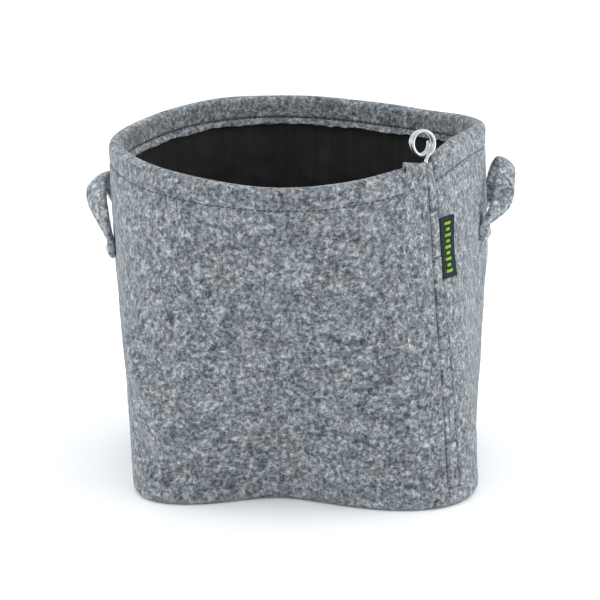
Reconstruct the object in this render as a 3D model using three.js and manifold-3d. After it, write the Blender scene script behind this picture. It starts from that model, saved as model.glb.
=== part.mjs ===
// Fabric grow bag: a thick grey felt pot with a black lining, a wall that opens along a rod closure,
// a steel closing rod with a coiled pull ring, two felt carrying handles and a woven side label.
//
// Units are millimetres, +Z is up and the bag faces -Y. The origin is the middle of the underside.
// Everything sewn is first drawn on an ideal round pot, in (along, depth, height) coordinates: along
// the wall's circumference, into the wall from its outer face, and up from the floor. `settle` then
// lets the round pot slump into the soft shape that the bag really stands in.

import * as THREE from 'three';
import { mergeVertices } from 'three/addons/utils/BufferGeometryUtils.js';
import Module from 'manifold-3d';

const wasm = await Module();
wasm.setup();

// ---------------------------------------------------------------- driving dimensions

const POT_RADIUS = 150;
const POT_HEIGHT = 262;
const FELT = 4;
const LINING = 0.9;
const LINING_GAP = 0.9;
const CLEARANCE = 0.4;

const FOLD_SLOT = LINING + 2 * LINING_GAP;
const FOLD_RADIUS = FELT + FOLD_SLOT / 2;
const FOLDED = 2 * FOLD_RADIUS;
const HEM_DEPTH = 23;
const HEM_STITCH_DROP = 18;
const SEAM_ALLOWANCE = 9;
const BASE_EDGE = FOLDED + CLEARANCE + FELT;
const GROOVE_DEPTH = 1.3;
const GROOVE_HALF = 2.2;
const THREAD_RADIUS = 0.4;
const THREAD_DEPTH = 0.45;

const CLOSURE_AZIMUTH = THREE.MathUtils.degToRad(-49);
const ROD_RADIUS = 1.4;
const ROD_DEPTH = 4.4;
const TUNNEL_RADIUS = 2;
const KNUCKLE_RADIUS = 5;
const KNUCKLES = 7;
const KNUCKLE_BOTTOM = 15;
const STRIP_INNER_DEPTH = 9.4;
const STRIP_OUTER_DEPTH = 7.2;
const STRIP_REACH = 22;
const FLAP_REACH = 28;
const CLOSURE_HALF = 5.8;
const STRIP_GAP = 0.2;
const WEB_REACH = 2;
const STRIP_RISE = 4.4;
const STRIP_DIP = 4;
const CLOSURE_STITCH = 6.6;

const RING_RADIUS = 9.1;
const RING_TURNS = 2.2;
const RING_TIGHTENS = 0.25;
const BEND_REACH = 1.6;
const BEND_SHARE = 0.06;
const BEND_OVERLAP = 0.5;
const RING_PITCH = 3.2;
const RING_START = THREE.MathUtils.degToRad(-65);
const RING_OFFSET = { across: 0, up: 4.6 };
const RING_TWIST = THREE.MathUtils.degToRad(-8);

const LABEL = { width: 17, height: 45, thickness: 1.2, top: 216 };

const HANDLES = [
  { side: 'left', azimuth: THREE.MathUtils.degToRad(173.5), front: 1, drop: 74, twistShare: 0.5 },
  { side: 'right', azimuth: THREE.MathUtils.degToRad(6.5), front: -1, drop: 67, twistShare: 0.14 },
];
const STRAP_WIDTH = 20;
const STRAP_THICKNESS = 5;
const STRAP_EDGE = 0.4;
const HANDLE_REACH = 38;
const HANDLE_RISE = 34;
const LOOP_STANDOFF = 1.5;
const ARCH_FULLNESS = 0.78;
const CROWN_TILT = THREE.MathUtils.degToRad(33);
const END_LENGTH = 15;
const END_GAP = 4.6;
const END_STANDOFF = 0.7;
const BAR_TACK = { width: 14, height: 1.6, thickness: 0.8, drop: 4 };

const RING_SEGMENTS = 72;
const WALL_LEVELS = 7;

// The settled outlines are circles with a few soft lobes: [how many round the outline, size in mm,
// direction of the first peak in degrees]. The mouth is pulled slightly out of round by the rod, the
// rim droops towards the front left, and the foot is a rounded square pushed in at the front.
const MOUTH = { mean: 150, lobes: [[1, 3, 202], [2, 7, 71], [3, 3, 21], [4, 3, 19]] };
const RIM = { mean: 261, lobes: [[1, 10, 73], [2, 4, -19], [3, 3, -24]] };
const FOOT = {
  mean: 144,
  lobes: [[1, 6, -49], [2, 5, -35], [3, 6, -32], [4, 12, 44], [5, 9, 15], [6, 2, -6], [7, 2, 22], [8, 2, -2]],
};
const BELLY = 6;
const ROD_STIFFENS = THREE.MathUtils.degToRad(50);
const FLOOR_RADIUS = 120;

// ---------------------------------------------------------------- materials

const felt = (color) => new THREE.MeshStandardMaterial({ color, roughness: 0.95, metalness: 0 });
const steel = () => new THREE.MeshStandardMaterial({ color: '#c9ccd0', roughness: 0.2, metalness: 1 });

const GREY_FELT = '#90959a';
const BLACK_LINING = '#1c1d1f';
const GREY_THREAD = '#6d7176';
const LABEL_CLOTH = '#22302f';

// ---------------------------------------------------------------- the settled shape

function outline({ mean, lobes }, azimuth) {
  let value = mean;
  for (const [count, size, peak] of lobes) {
    value += size * Math.cos(count * (azimuth - THREE.MathUtils.degToRad(peak)));
  }
  return value;
}

// 0 beside the stiff rod, 1 away from it
function slackness(azimuth) {
  const fromRod = Math.atan2(Math.sin(azimuth - CLOSURE_AZIMUTH), Math.cos(azimuth - CLOSURE_AZIMUTH));
  return 1 - Math.exp(-((fromRod / ROD_STIFFENS) ** 2));
}

function wallRadius(azimuth, rise) {
  const foot = outline(FOOT, azimuth);
  const belly = BELLY * slackness(azimuth) * Math.sin(Math.PI * rise);
  return foot + (outline(MOUTH, azimuth) - foot) * rise + belly;
}

function settlePoint(point) {
  const azimuth = Math.atan2(point.y, point.x);
  const radius = Math.hypot(point.x, point.y);
  const rise = Math.min(point.z / POT_HEIGHT, 1);
  const rim = outline(RIM, azimuth);
  const shift = wallRadius(azimuth, rise) - POT_RADIUS;
  const settled = radius > FLOOR_RADIUS ? radius + shift : radius * (1 + shift / FLOOR_RADIUS);
  const height = rise * rim + Math.max(point.z - POT_HEIGHT, 0);
  return new THREE.Vector3(settled * Math.cos(azimuth), settled * Math.sin(azimuth), height);
}

function wrapPoint(azimuth, along, depth, height) {
  const angle = azimuth + along / POT_RADIUS;
  const radius = POT_RADIUS - depth;
  return new THREE.Vector3(radius * Math.cos(angle), radius * Math.sin(angle), height);
}

// ---------------------------------------------------------------- working on geometries

function moveVertices(geometry, move) {
  const position = geometry.attributes.position;
  const point = new THREE.Vector3();
  for (let i = 0; i < position.count; i += 1) {
    const moved = move(point.fromBufferAttribute(position, i));
    position.setXYZ(i, moved.x, moved.y, moved.z);
  }
  return geometry;
}

const wrap = (geometry, azimuth) => moveVertices(geometry, (p) => wrapPoint(azimuth, p.x, p.y, p.z));

// One vertex at each place, no collapsed triangles, and the faces pointing out
function weld(geometry) {
  geometry.deleteAttribute('normal');
  geometry.deleteAttribute('uv');
  const welded = mergeVertices(geometry, 1e-4);
  const position = welded.attributes.position;
  const corners = [new THREE.Vector3(), new THREE.Vector3(), new THREE.Vector3()];
  const faces = [];
  let volume = 0;
  for (let i = 0; i < welded.index.count; i += 3) {
    const face = [0, 1, 2].map((k) => welded.index.getX(i + k));
    if (new Set(face).size === 3) {
      faces.push(face);
      face.forEach((index, k) => corners[k].fromBufferAttribute(position, index));
      volume += corners[0].dot(corners[1].cross(corners[2]));
    }
  }
  const outward = volume > 0 ? faces : faces.map(([a, b, c]) => [a, c, b]);
  welded.setIndex(outward.flat());
  return welded;
}

function toSolid(geometry) {
  const welded = weld(geometry);
  return new wasm.Manifold(new wasm.Mesh({
    numProp: 3,
    vertProperties: welded.attributes.position.array,
    triVerts: Uint32Array.from(welded.index.array),
  }));
}

function toGeometry(solid) {
  const { vertProperties, triVerts } = solid.getMesh();
  const geometry = new THREE.BufferGeometry();
  geometry.setAttribute('position', new THREE.BufferAttribute(vertProperties, 3));
  geometry.setIndex(new THREE.BufferAttribute(triVerts, 1));
  return geometry;
}

// A block of the wrapped wall, from low to high in (along, depth, height)
function wrappedBlock(azimuth, low, high, steps = 4) {
  const [width, thickness, height] = [0, 1, 2].map((k) => high[k] - low[k]);
  const block = new THREE.BoxGeometry(width, thickness, height, steps, 1, 1);
  block.translate(low[0] + width / 2, low[1] + thickness / 2, low[2] + height / 2);
  return wrap(block, azimuth);
}

// A ring of the round pot, from a profile of [depth, height] points
function potRing(profile) {
  const points = profile.map(([depth, height]) => new THREE.Vector2(POT_RADIUS - depth, height));
  return new THREE.LatheGeometry(points, RING_SEGMENTS).rotateX(Math.PI / 2);
}

// Part of a profile that follows an arc about (depth, height), with angles in degrees
function arc(depth, height, radius, from, to, steps) {
  const points = [];
  for (let i = 0; i <= steps; i += 1) {
    const angle = THREE.MathUtils.degToRad(from + ((to - from) * i) / steps);
    points.push([depth - radius * Math.cos(angle), height + radius * Math.sin(angle)]);
  }
  return points;
}

// ---------------------------------------------------------------- the bag

const stitchHeight = POT_HEIGHT - HEM_STITCH_DROP;
const foldTop = POT_HEIGHT - FOLD_RADIUS;
const levelStep = (stitchHeight - GROOVE_HALF - FOLD_RADIUS) / WALL_LEVELS;

// Points up or down one face of the wall, at the same heights on every layer
function rising(depth) {
  return Array.from({ length: WALL_LEVELS }, (_, i) => [depth, FOLD_RADIUS + levelStep * (i + 1)]);
}

const falling = (depth) => rising(depth).reverse();

// The wall is one sheet of felt: folded in over the lining at the rim, and turned under at the foot
function wall() {
  const lapGroove = [
    [FOLDED, stitchHeight + GROOVE_HALF], [FOLDED - GROOVE_DEPTH, stitchHeight],
    [FOLDED, stitchHeight - GROOVE_HALF],
  ];
  const profile = [
    [0, FOLD_RADIUS],
    ...rising(0),
    [GROOVE_DEPTH, stitchHeight],
    [0, stitchHeight + GROOVE_HALF],
    ...arc(FOLD_RADIUS, foldTop, FOLD_RADIUS, 0, 180, 6),
    ...lapGroove,
    [FOLDED, POT_HEIGHT - HEM_DEPTH],
    [FELT + FOLD_SLOT, POT_HEIGHT - HEM_DEPTH],
    ...arc(FOLD_RADIUS, foldTop, FOLD_SLOT / 2, 180, 0, 2),
    ...falling(FELT),
    ...arc(FOLD_RADIUS, FOLD_RADIUS, FOLD_SLOT / 2, 360, 180, 2),
    [FELT + FOLD_SLOT, SEAM_ALLOWANCE],
    [FOLDED, SEAM_ALLOWANCE],
    ...arc(FOLD_RADIUS, FOLD_RADIUS, FOLD_RADIUS, 180, 360, 6),
  ];
  const lapEnd = wrappedBlock(
    CLOSURE_AZIMUTH,
    [-FLAP_REACH - CLEARANCE, FELT, POT_HEIGHT - HEM_DEPTH - 1],
    [0, FOLDED + 1, POT_HEIGHT + 1],
  );
  const standingEdge = slopedTop(wrappedBlock(
    CLOSURE_AZIMUTH,
    [-FLAP_REACH, 0, POT_HEIGHT - HEM_DEPTH],
    [0, FELT, POT_HEIGHT],
  ));
  const closureSlot = wrappedBlock(
    CLOSURE_AZIMUTH,
    [-CLOSURE_HALF, -1, KNUCKLE_BOTTOM - CLEARANCE],
    [CLOSURE_HALF, FOLDED + 1, POT_HEIGHT + 2 * STRIP_RISE],
  );
  return toGeometry(
    toSolid(potRing(profile))
      .subtract(toSolid(lapEnd))
      .add(toSolid(standingEdge))
      .subtract(toSolid(closureSlot)),
  );
}

// The closure's left edge is cut level: it stands above the hem at its far end and dips at the rod
function slopedTop(geometry) {
  return moveVertices(geometry, (point) => {
    const along = (Math.atan2(point.y, point.x) - CLOSURE_AZIMUTH) * POT_RADIUS;
    const lift = STRIP_RISE + ((STRIP_RISE + STRIP_DIP) * -Math.min(along, 0)) / FLAP_REACH;
    const raised = point.z > POT_HEIGHT - 1 ? point.z + lift - STRIP_RISE - STRIP_DIP : point.z;
    return new THREE.Vector3(point.x, point.y, raised);
  });
}

function lining() {
  const [outer, inner] = [FELT + LINING_GAP, FELT + LINING_GAP + LINING];
  const [low, high] = [FOLD_RADIUS + 1, foldTop - 1];
  const profile = [
    [outer, low], ...rising(outer), [outer, high],
    [inner, high], ...falling(inner), [inner, low], [outer, low],
  ];
  const slot = wrappedBlock(
    CLOSURE_AZIMUTH,
    [-CLOSURE_HALF, 0, KNUCKLE_BOTTOM - CLEARANCE],
    [CLOSURE_HALF, FOLDED, POT_HEIGHT],
  );
  return toGeometry(toSolid(potRing(profile)).subtract(toSolid(slot)));
}

// A flat panel whose edge turns up inside the wall, where the two are sewn together
function base() {
  const flat = POT_RADIUS - FLOOR_RADIUS;
  return potRing([
    [POT_RADIUS, 0], [flat, 0],
    ...arc(BASE_EDGE, FELT, FELT, 270, 360, 3),
    [FOLDED + CLEARANCE, SEAM_ALLOWANCE], [BASE_EDGE, SEAM_ALLOWANCE], [BASE_EDGE, FELT],
    [flat, FELT], [POT_RADIUS, FELT],
  ]);
}

function baseLining() {
  const [edge, flat] = [BASE_EDGE + CLEARANCE, POT_RADIUS - FLOOR_RADIUS];
  const [low, high] = [FELT + CLEARANCE, FELT + CLEARANCE + LINING];
  return potRing([
    [POT_RADIUS, low], [flat, low], [edge, low], [edge, high], [flat, high], [POT_RADIUS, high],
  ]);
}

// A thread that runs right round the pot
function threadRing(depth, height) {
  return potRing(arc(depth, height, THREAD_RADIUS, 0, 360, 4));
}

// The hem's threads stop at the closure
function hemThread(depth, leftEnd, rightEnd) {
  const gap = wrappedBlock(
    CLOSURE_AZIMUTH,
    [-leftEnd, depth - 1, stitchHeight - 1],
    [rightEnd, depth + 1, stitchHeight + 1],
  );
  return toGeometry(toSolid(threadRing(depth, stitchHeight)).subtract(toSolid(gap)));
}

// ---------------------------------------------------------------- the rod closure

const knuckleHeight = (POT_HEIGHT - STRIP_DIP - KNUCKLE_BOTTOM) / KNUCKLES;

// One loop of a closure strip round the rod's tunnel, with the web that joins it to the strip
function knuckle(side, low, high) {
  const shape = new THREE.Shape();
  shape.absarc(0, ROD_DEPTH, KNUCKLE_RADIUS, 0, 2 * Math.PI);
  shape.holes.push(new THREE.Path().absarc(0, ROD_DEPTH, TUNNEL_RADIUS, 0, 2 * Math.PI, true));
  const height = high - low;
  const loop = new THREE.ExtrudeGeometry(shape, { depth: height, bevelEnabled: false, curveSegments: 7 });
  loop.translate(0, 0, low);
  const web = wrappedBlock(
    CLOSURE_AZIMUTH,
    [Math.min(0, side * (CLOSURE_HALF + WEB_REACH)), ROD_DEPTH + TUNNEL_RADIUS + STRIP_GAP, low],
    [Math.max(0, side * (CLOSURE_HALF + WEB_REACH)), STRIP_INNER_DEPTH, high],
  );
  return toSolid(wrap(loop, CLOSURE_AZIMUTH)).add(toSolid(web));
}

// Side -1 is the left strip, which holds the end knuckles, and side 1 is the right strip
function closureStrip(side, top) {
  const [near, far] = [side * (CLOSURE_HALF + STRIP_GAP), side * STRIP_REACH];
  const flange = wrappedBlock(
    CLOSURE_AZIMUTH,
    [Math.min(near, far), STRIP_OUTER_DEPTH, KNUCKLE_BOTTOM],
    [Math.max(near, far), STRIP_INNER_DEPTH, top],
  );
  let strip = toSolid(side < 0 ? slopedTop(flange) : flange);
  for (let i = side < 0 ? 0 : 1; i < KNUCKLES; i += 2) {
    const low = KNUCKLE_BOTTOM + i * knuckleHeight + CLEARANCE / 2;
    strip = strip.add(knuckle(side, low, low + knuckleHeight - CLEARANCE));
  }
  return toGeometry(strip);
}

// A straight row of stitches beside the closure
function closureThread(along, top) {
  const half = THREAD_RADIUS;
  return wrappedBlock(
    CLOSURE_AZIMUTH,
    [along - half, -CLEARANCE - 2 * half, KNUCKLE_BOTTOM],
    [along + half, -CLEARANCE, top],
    1,
  );
}

// Wire from the top of the shank, round the coil and to its cut end; the shank is along +Z at 0, 0
class PullRing extends THREE.Curve {
  constructor(shankTop) {
    super();
    this.start = new THREE.Vector3(0, 0, shankTop);
    this.centre = new THREE.Vector3(RING_OFFSET.across, 0, shankTop + RING_RADIUS + RING_OFFSET.up);
    this.entry = this.onCoil(0);
    this.lead = BEND_SHARE;
  }

  onCoil(turn) {
    const angle = RING_START + 2 * Math.PI * turn;
    const radius = RING_RADIUS - RING_TIGHTENS * turn;
    return new THREE.Vector3(
      this.centre.x + radius * Math.cos(angle),
      RING_PITCH * turn,
      this.centre.z + radius * Math.sin(angle),
    );
  }

  getPoint(t) {
    if (t >= this.lead) return this.onCoil(((t - this.lead) / (1 - this.lead)) * RING_TURNS);
    const heading = new THREE.Vector3(-Math.sin(RING_START), 0, Math.cos(RING_START));
    const bend = new THREE.CubicBezierCurve3(
      this.start,
      this.start.clone().add(new THREE.Vector3(0, 0, BEND_REACH)),
      this.entry.clone().addScaledVector(heading, -BEND_REACH),
      this.entry,
    );
    return bend.getPoint(t / this.lead);
  }
}

// The shank drops straight down the knuckles; the coil above them is the pull ring and the stop
function closingRod() {
  const axisBottom = settlePoint(wrapPoint(CLOSURE_AZIMUTH, 0, ROD_DEPTH, KNUCKLE_BOTTOM));
  const axisTop = settlePoint(wrapPoint(CLOSURE_AZIMUTH, 0, ROD_DEPTH, POT_HEIGHT - STRIP_DIP));
  const length = axisBottom.distanceTo(axisTop) + 1;
  const tip = ROD_RADIUS / 2;
  const shank = new THREE.LatheGeometry(
    [[0, 0], [tip, 0], [ROD_RADIUS, tip], [ROD_RADIUS, length], [0, length]]
      .map(([radius, height]) => new THREE.Vector2(radius, height)),
    12,
  ).rotateX(Math.PI / 2);
  const section = new THREE.Shape().absarc(0, 0, ROD_RADIUS, 0, 2 * Math.PI);
  const coil = new THREE.ExtrudeGeometry(section, {
    steps: 60, extrudePath: new PullRing(length - BEND_OVERLAP), curveSegments: 4,
  });
  const rod = toGeometry(toSolid(shank).add(toSolid(coil)));
  const up = axisTop.clone().sub(axisBottom).normalize();
  const inward = new THREE.Vector3(-Math.cos(CLOSURE_AZIMUTH), -Math.sin(CLOSURE_AZIMUTH), 0);
  inward.applyAxisAngle(up, RING_TWIST).projectOnPlane(up).normalize();
  const across = new THREE.Vector3().crossVectors(inward, up);
  const pose = new THREE.Matrix4().makeBasis(across, inward, up).setPosition(axisBottom);
  return rod.applyMatrix4(pose);
}

// ---------------------------------------------------------------- label and handles

function label() {
  const near = CLOSURE_STITCH + THREAD_RADIUS + CLEARANCE;
  return wrappedBlock(
    CLOSURE_AZIMUTH,
    [near, -CLEARANCE - LABEL.thickness, LABEL.top - LABEL.height],
    [near + LABEL.width, -CLEARANCE, LABEL.top],
  );
}

function roundedStrap() {
  const [x, y] = [STRAP_WIDTH / 2, STRAP_THICKNESS / 2];
  const corner = STRAP_THICKNESS * STRAP_EDGE;
  const shape = new THREE.Shape();
  shape.absarc(x - corner, y - corner, corner, 0, Math.PI / 2);
  shape.absarc(corner - x, y - corner, corner, Math.PI / 2, Math.PI);
  shape.absarc(corner - x, corner - y, corner, Math.PI, 1.5 * Math.PI);
  shape.absarc(x - corner, corner - y, corner, 1.5 * Math.PI, 2 * Math.PI);
  return shape;
}

// Where the strap's centre line is, t from 0 at the front stitches to 1 at the back ones, in
// (along, depth, height): an arch that leans out as the strap twists to lie on its side
function strapCentre({ front, drop, twistShare }, t) {
  const turn = Math.PI * t;
  const lean = (STRAP_WIDTH / 2) * Math.sin(strapTwist(twistShare, t));
  const along = Math.sign(Math.cos(turn)) * Math.abs(Math.cos(turn)) ** ARCH_FULLNESS;
  return new THREE.Vector3(
    front * HANDLE_REACH * along,
    -LOOP_STANDOFF - STRAP_THICKNESS / 2 - lean,
    POT_HEIGHT - drop + HANDLE_RISE * Math.sin(turn) ** ARCH_FULLNESS,
  );
}

function strapTwist(twistShare, t) {
  const fromEnd = Math.min(Math.min(t, 1 - t) / twistShare, 1);
  return (Math.PI / 2) * Math.sin((Math.PI / 2) * fromEnd);
}

function strapPoint(handle, t, across, thick) {
  const centre = strapCentre(handle, t);
  const step = 0.01;
  const ahead = strapCentre(handle, Math.min(t + step, 1));
  const tangent = ahead.sub(strapCentre(handle, Math.max(t - step, 0))).normalize();
  const twist = strapTwist(handle.twistShare, t);
  const tilt = CROWN_TILT * Math.sin(Math.PI * t);
  const turned = (t < 0.5 ? 1 : -1) * handle.front * Math.cos(twist);
  const width = new THREE.Vector3(
    turned,
    Math.sin(twist) * Math.cos(tilt),
    Math.sin(twist) * Math.sin(tilt),
  ).projectOnPlane(tangent).normalize();
  const face = new THREE.Vector3().crossVectors(tangent, width);
  return centre.addScaledVector(width, across).addScaledVector(face, thick);
}

function handleLoop(handle) {
  const loop = new THREE.ExtrudeGeometry(roundedStrap(), {
    depth: 1, steps: 26, bevelEnabled: false, curveSegments: 1,
  });
  const closerAtEnds = (share) => (1 - Math.cos(Math.PI * share)) / 2;
  moveVertices(loop, (p) => strapPoint(handle, closerAtEnds(p.z), p.x, p.y));
  return wrap(loop, handle.azimuth);
}

// The end of the strap lies flat on the wall under the loop, end is 1 at the front and -1 at the back
function handleEnd(handle, end) {
  const top = POT_HEIGHT - handle.drop - END_GAP;
  const tab = new THREE.ExtrudeGeometry(roundedStrap(), {
    depth: END_LENGTH, bevelEnabled: false, curveSegments: 2,
  });
  const along = end * handle.front * HANDLE_REACH;
  tab.translate(along, -END_STANDOFF - STRAP_THICKNESS / 2, top - END_LENGTH);
  return wrap(tab, handle.azimuth);
}

function barTack(handle, end) {
  const height = POT_HEIGHT - handle.drop - END_GAP - BAR_TACK.drop;
  const along = end * handle.front * HANDLE_REACH;
  const face = -END_STANDOFF - STRAP_THICKNESS - CLEARANCE;
  return wrappedBlock(
    handle.azimuth,
    [along - BAR_TACK.width / 2, face - BAR_TACK.thickness, height - BAR_TACK.height / 2],
    [along + BAR_TACK.width / 2, face, height + BAR_TACK.height / 2],
    3,
  );
}

// ---------------------------------------------------------------- the assembly

const bag = new THREE.Group();

function addPiece(name, geometry, material) {
  const mesh = new THREE.Mesh(weld(geometry), material);
  mesh.geometry.computeVertexNormals();
  mesh.name = name;
  bag.add(mesh);
}

const addSewn = (name, geometry, material) => addPiece(name, moveVertices(geometry, settlePoint), material);

addSewn('wall_felt', wall(), felt(GREY_FELT));
addSewn('base_felt', base(), felt(GREY_FELT));
addSewn('wall_lining', lining(), felt(BLACK_LINING));
addSewn('base_lining', baseLining(), felt(BLACK_LINING));

addSewn('closure_strip_left', closureStrip(-1, POT_HEIGHT), felt(GREY_FELT));
addSewn('closure_strip_right', closureStrip(1, POT_HEIGHT - HEM_DEPTH - 1), felt(GREY_FELT));
addPiece('closing_rod', closingRod(), steel());
addSewn('side_label', label(), felt(LABEL_CLOTH));

addSewn(
  'hem_stitching_outside',
  hemThread(THREAD_DEPTH, FLAP_REACH + 1, CLOSURE_HALF + 1),
  felt(GREY_THREAD),
);
addSewn(
  'hem_stitching_inside',
  hemThread(FOLDED - THREAD_DEPTH, FLAP_REACH + 1, CLOSURE_HALF + 1),
  felt(GREY_THREAD),
);
addSewn(
  'base_seam_stitching',
  threadRing(BASE_EDGE + CLEARANCE + THREAD_RADIUS, (FELT + SEAM_ALLOWANCE) / 2 + LINING),
  felt(GREY_THREAD),
);
addSewn('closure_stitching_left', closureThread(-CLOSURE_STITCH, POT_HEIGHT - 2), felt(GREY_THREAD));
addSewn('closure_stitching_right', closureThread(CLOSURE_STITCH, stitchHeight), felt(GREY_THREAD));

for (const handle of HANDLES) {
  const name = `handle_${handle.side}`;
  addSewn(`${name}_loop`, handleLoop(handle), felt(GREY_FELT));
  for (const [place, end] of [['front', 1], ['back', -1]]) {
    addSewn(`${name}_${place}_end`, handleEnd(handle, end), felt(GREY_FELT));
    addSewn(`${name}_${place}_stitches`, barTack(handle, end), felt(GREY_THREAD));
  }
}

export default bag;
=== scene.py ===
"""Looks of the fabric grow bag: felt, lining, stitches, label, rod and handles built over the CAD frame.

Lengths in this file are millimetres until they become a mesh. Sewn pieces are drawn as (azimuth,
depth into the wall, height) on an ideal round pot, then settled into the shape the bag stands in.
"""

import math
import random

import bmesh
import bpy
import numpy as np
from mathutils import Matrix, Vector


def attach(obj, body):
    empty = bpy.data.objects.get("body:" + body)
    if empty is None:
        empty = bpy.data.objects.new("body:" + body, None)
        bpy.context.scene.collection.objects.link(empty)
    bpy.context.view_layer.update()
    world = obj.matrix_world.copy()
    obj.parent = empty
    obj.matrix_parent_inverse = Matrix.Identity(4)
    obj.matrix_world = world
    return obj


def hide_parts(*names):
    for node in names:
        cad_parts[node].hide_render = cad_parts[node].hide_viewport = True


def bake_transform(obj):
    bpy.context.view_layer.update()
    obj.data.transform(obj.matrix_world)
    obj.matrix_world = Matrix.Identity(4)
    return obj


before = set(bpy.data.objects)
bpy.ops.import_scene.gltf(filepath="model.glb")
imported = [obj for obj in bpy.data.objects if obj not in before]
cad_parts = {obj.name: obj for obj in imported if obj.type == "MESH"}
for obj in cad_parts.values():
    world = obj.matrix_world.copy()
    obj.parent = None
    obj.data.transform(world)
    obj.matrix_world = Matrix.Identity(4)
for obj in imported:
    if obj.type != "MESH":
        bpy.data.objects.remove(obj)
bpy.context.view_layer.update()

MM = 0.001
RADIANS = math.pi / 180

# ---- dimensions shared with the CAD part

POT_RADIUS = 150
GIRTH = 2 * math.pi * POT_RADIUS
POT_HEIGHT = 262
FELT = 4
LINING = 0.9
LINING_GAP = 0.9
CLEARANCE = 0.4
FOLD_SLOT = LINING + 2 * LINING_GAP
FOLD_RADIUS = FELT + FOLD_SLOT / 2
FOLDED = 2 * FOLD_RADIUS
HEM_DEPTH = 23
HEM_STITCH_DROP = 18
SEAM_ALLOWANCE = 9
BASE_EDGE = FOLDED + CLEARANCE + FELT
FLOOR_RADIUS = 120

CLOSURE = -49 * RADIANS
ROD_RADIUS = 1.4
ROD_DEPTH = 4.4
TUNNEL_RADIUS = 2
KNUCKLE_RADIUS = 5
KNUCKLES = 7
KNUCKLE_BOTTOM = 15
STRIP_INNER_DEPTH = 9.4
STRIP_OUTER_DEPTH = 7.2
STRIP_REACH = 22
FLAP_REACH = 28
CLOSURE_HALF = 5.8
STRIP_RISE = 4.4
STRIP_DIP = 4
CLOSURE_STITCH = 6.6

RING_RADIUS = 9.1
RING_TURNS = 2.2
RING_PITCH = 3.2
RING_START = -65 * RADIANS
RING_OFFSET_UP = 4.6
RING_TWIST = -8 * RADIANS

LABEL_WIDTH, LABEL_HEIGHT, LABEL_THICKNESS, LABEL_TOP = 17, 45, 1.2, 216

# front: the side of the handle's middle where its front end is sewn; drop: its ends below the rim;
# twist_reach: how far past the bar tack the strap has turned on its side; gap: kept to the wall;
# fullness: the drawn share of its width; cup: how far it is bent across its width at the crown
HANDLES = {
    "left": {
        "azimuth": 173.5 * RADIANS, "front": 1, "drop": 74,
        "twist_reach": 60, "gap": 0.6, "fullness": 1.0, "cup": 64 * RADIANS,
    },
    "right": {
        "azimuth": 6.5 * RADIANS, "front": -1, "drop": 67,
        "twist_reach": 26, "gap": 2.8, "fullness": 0.8, "cup": 80 * RADIANS,
    },
}
STRAP_WIDTH = 20
STRAP_THICKNESS = 5
HANDLE_REACH = 38
HANDLE_RISE = 34
LOOP_STANDOFF = 1.5
ARCH_FULLNESS = 0.9
CROWN_TILT = 33 * RADIANS
END_LENGTH = 15
END_GAP = 4.6
END_STANDOFF = 0.7
BAR_TACK_DROP = 4

# mean radius or height, then lobes as (number round the outline, size, direction of the first peak)
MOUTH = (150, [(1, 3, 202), (2, 7, 71), (3, 3, 21), (4, 3, 19)])
RIM = (261, [(1, 10, 73), (2, 4, -19), (3, 3, -24)])
FOOT = (144, [
    (1, 6, -49), (2, 5, -35), (3, 6, -32), (4, 12, 44), (5, 9, 15), (6, 2, -6), (7, 2, 22), (8, 2, -2),
])
BELLY = 6
ROD_STIFFENS = 50 * RADIANS

STITCH_PITCH = 4.2
STITCH_SHARE = 0.78
STITCH_RADIUS = 0.42
LAP_STITCH_RADIUS = 0.55
UPRIGHT_STITCH_RADIUS = 0.38
LABEL_STITCH_RADIUS = 0.26
TACK_STITCH_RADIUS = 0.34
SHARP_EDGE = 55 * RADIANS
STITCH_HEIGHT = POT_HEIGHT - HEM_STITCH_DROP
FOLD_TOP = POT_HEIGHT - FOLD_RADIUS

# ---- the settled shape


def outline(shape, azimuth):
    mean, lobes = shape
    value = np.full(np.shape(azimuth), float(mean))
    for count, size, peak in lobes:
        value = value + size * np.cos(count * (azimuth - peak * RADIANS))
    return value


def from_closure(azimuth):
    """The angle from the closure, positive to its right, from -pi to pi."""
    turn = np.asarray(azimuth, float) - CLOSURE
    return np.arctan2(np.sin(turn), np.cos(turn))


def wall_radius(azimuth, rise):
    slack = 1 - np.exp(-((from_closure(azimuth) / ROD_STIFFENS) ** 2))
    foot = outline(FOOT, azimuth)
    return foot + (outline(MOUTH, azimuth) - foot) * rise + BELLY * slack * np.sin(np.pi * rise)


def waves(azimuth, height, seed, wavelength, count=9):
    """A smooth field of about -1 to 1 that closes round the pot, made of crossing waves."""
    pick = random.Random(seed)
    total = np.zeros(np.broadcast(azimuth, height).shape)
    for _ in range(count):
        heading = pick.uniform(0, math.pi)
        spread = pick.uniform(0.7, 1.5)
        turns = round(GIRTH / (wavelength * spread) * math.cos(heading))
        climb = 2 * math.pi / (wavelength * spread) * math.sin(heading)
        total = total + np.sin(turns * azimuth + climb * height + pick.uniform(0, 2 * math.pi))
    return total / math.sqrt(count)


def bump(value, centre, width):
    return np.exp(-(((value - centre) / width) ** 2))


FOLD_FADE = 9


def soft_fold(azimuth, height, start, end, width, size):
    """A fold along a straight line between two (azimuth in degrees, height) points of the wall."""
    turn = azimuth - start[0] * RADIANS
    along = POT_RADIUS * np.arctan2(np.sin(turn), np.cos(turn))
    line = np.array([POT_RADIUS * (end[0] - start[0]) * RADIANS, end[1] - start[1]])
    length = np.hypot(*line)
    way = (along * line[0] + (height - start[1]) * line[1]) / length
    off = (along * line[1] - (height - start[1]) * line[0]) / length
    ends = 1 / (1 + np.exp(-way / FOLD_FADE)) / (1 + np.exp((way - length) / FOLD_FADE))
    return size * ends * np.exp(-((off / width) ** 2))


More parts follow.
